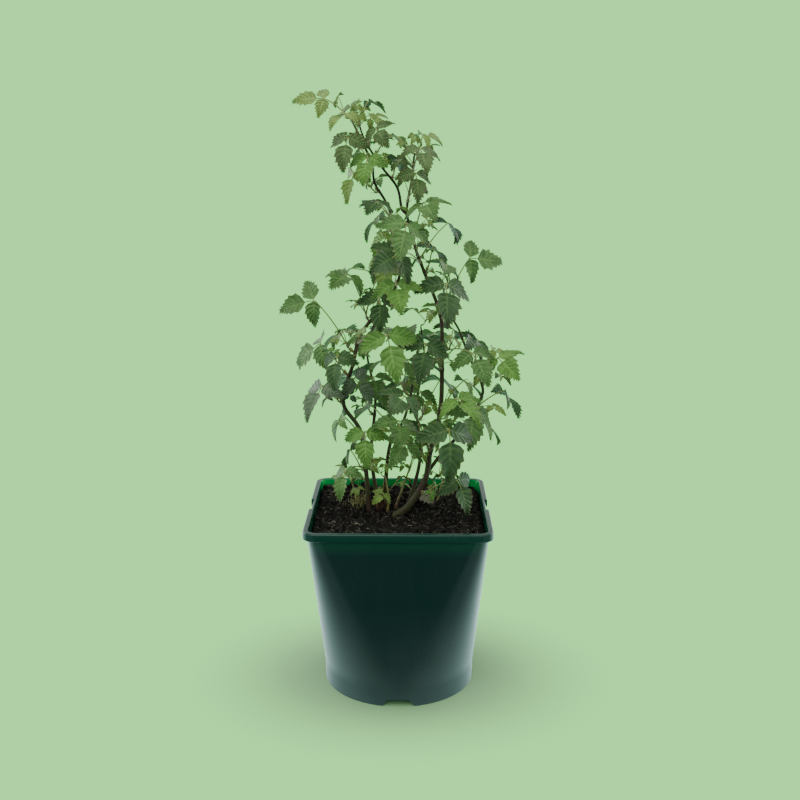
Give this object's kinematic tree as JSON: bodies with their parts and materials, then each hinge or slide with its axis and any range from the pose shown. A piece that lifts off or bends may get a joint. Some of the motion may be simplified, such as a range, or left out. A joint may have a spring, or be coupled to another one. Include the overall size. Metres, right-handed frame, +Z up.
{
  "type": "potted bramble bush",
  "caption": "Young thornless bramble bush with slender leaning stems and toothed leaves, standing in a square-rimmed plastic pot with a round foot.",
  "frame": {"origin": "on the ground, under the middle of the pot", "axes": "+Z up along the bush; the front of the picture faces -Y; X and Y run square to the pot's rim"},
  "size_m": [0.245, 0.2293, 0.5994],
  "materials": {
    "pot_plastic": "dark blue-green moulded plastic with a soft sheen",
    "soil": "loose, nearly black potting soil",
    "root_wood": "rough reddish-brown old wood",
    "bark": "smooth young bark, purple-brown above and green-brown below",
    "leaf_young": "soft yellow-green leaf",
    "leaf_bright": "fresh green leaf",
    "leaf_mid": "mid green leaf with a light bloom",
    "leaf_dark": "dark green leaf",
    "leaf_bronze": "bronze-flushed green leaf",
    "leaf_grey": "grey-green leaf, pale from the side"
  },
  "bodies": {
    "root": {"pot": "pot_plastic", "soil": "soil", "root_crown": "root_wood", "left_stem": "bark", "right_stem": "bark", "outer_stem": "bark", "middle_stem": "bark", "back_stem": "bark", "rear_stem": "bark", "top_branch": "bark", "left_stem_spray_1": "leaf_young", "left_stem_spray_2": "leaf_young", "left_stem_spray_3": "leaf_bronze", "left_stem_spray_4": "leaf_bright", "left_stem_spray_5": "leaf_young", "left_stem_spray_6": "leaf_dark", "left_stem_spray_7": "leaf_mid", "left_stem_spray_8": "leaf_bright", "left_stem_spray_9": "leaf_young", "left_stem_spray_10": "leaf_bright", "left_stem_spray_11": "leaf_mid", "left_stem_spray_12": "leaf_mid", "left_stem_spray_13": "leaf_bright", "left_stem_spray_14": "leaf_dark", "left_stem_spray_15": "leaf_dark", "left_stem_spray_16": "leaf_mid", "left_stem_spray_17": "leaf_grey", "left_stem_spray_18": "leaf_bright", "left_stem_spray_19": "leaf_mid", "right_stem_spray_1": "leaf_dark", "right_stem_spray_2": "leaf_dark", "right_stem_spray_3": "leaf_mid", "right_stem_spray_4": "leaf_bright", "right_stem_spray_5": "leaf_dark", "right_stem_spray_6": "leaf_mid", "right_stem_spray_7": "leaf_dark", "right_stem_spray_8": "leaf_mid", "right_stem_spray_9": "leaf_mid", "right_stem_spray_10": "leaf_dark", "right_stem_spray_11": "leaf_bronze", "right_stem_spray_12": "leaf_bronze", "right_stem_spray_13": "leaf_bronze", "right_stem_spray_14": "leaf_young", "right_stem_spray_15": "leaf_dark", "top_branch_spray_1": "leaf_mid", "top_branch_spray_2": "leaf_bronze", "top_branch_spray_3": "leaf_young", "top_branch_spray_4": "leaf_dark", "outer_stem_spray_1": "leaf_mid", "outer_stem_spray_2": "leaf_bright", "outer_stem_spray_3": "leaf_mid", "outer_stem_spray_4": "leaf_mid", "outer_stem_spray_5": "leaf_bright", "middle_stem_spray_1": "leaf_mid", "middle_stem_spray_2": "leaf_mid", "middle_stem_spray_3": "leaf_mid", "back_stem_spray_1": "leaf_mid", "back_stem_spray_2": "leaf_mid", "rear_stem_spray_1": "leaf_mid", "rear_stem_spray_2": "leaf_bright"}
  },
  "joints": []
}
